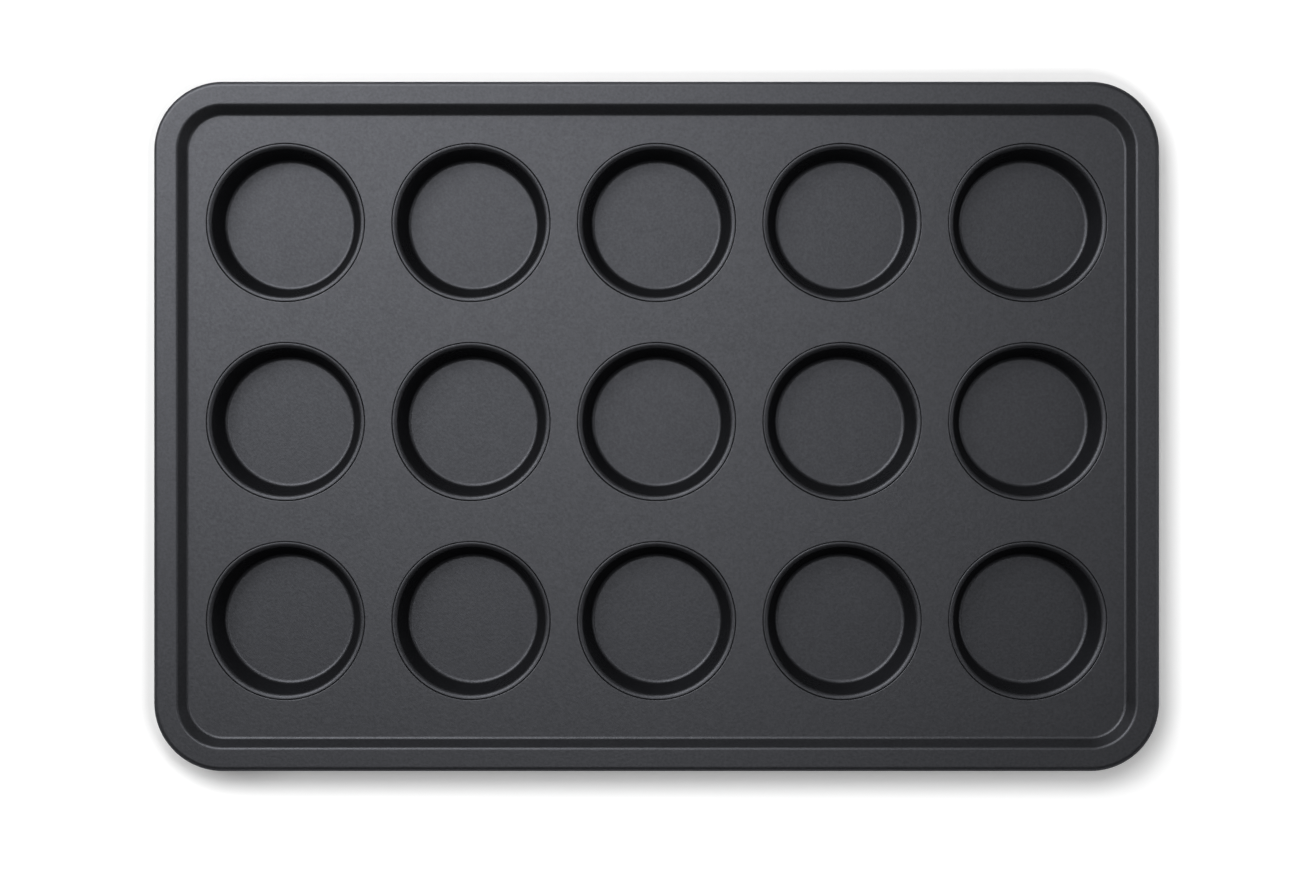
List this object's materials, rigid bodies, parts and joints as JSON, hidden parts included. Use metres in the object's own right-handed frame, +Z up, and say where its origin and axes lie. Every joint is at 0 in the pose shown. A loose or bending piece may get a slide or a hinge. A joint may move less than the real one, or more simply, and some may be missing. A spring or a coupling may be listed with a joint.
{
  "type": "hamburger bun pan",
  "caption": "Large rectangular baking pan with rows of shallow round flat-bottomed cups locked into a sheet with a raised, wire-rolled rim.",
  "frame": {"origin": "on the plane that the cups stand on, under the middle of the pan's outline", "axes": "+X along the long side, +Y towards the back long side, which the array of cups lies nearer to, +Z up"},
  "size_m": [0.6592, 0.4522, 0.0276],
  "materials": {
    "sheet_coating": "satin dark grey non-stick coating on steel sheet",
    "cup_coating": "satin dark grey non-stick coating on drawn steel",
    "rim_wire_steel": "bare drawn wire"
  },
  "bodies": {
    "root": {"cup_row1_col1": "cup_coating", "cup_row1_col2": "cup_coating", "cup_row1_col3": "cup_coating", "cup_row1_col4": "cup_coating", "cup_row1_col5": "cup_coating", "cup_row2_col1": "cup_coating", "cup_row2_col2": "cup_coating", "cup_row2_col3": "cup_coating", "cup_row2_col4": "cup_coating", "cup_row2_col5": "cup_coating", "cup_row3_col1": "cup_coating", "cup_row3_col2": "cup_coating", "cup_row3_col3": "cup_coating", "cup_row3_col4": "cup_coating", "cup_row3_col5": "cup_coating", "pan_sheet": "sheet_coating", "rim_wire": "rim_wire_steel"}
  },
  "joints": []
}
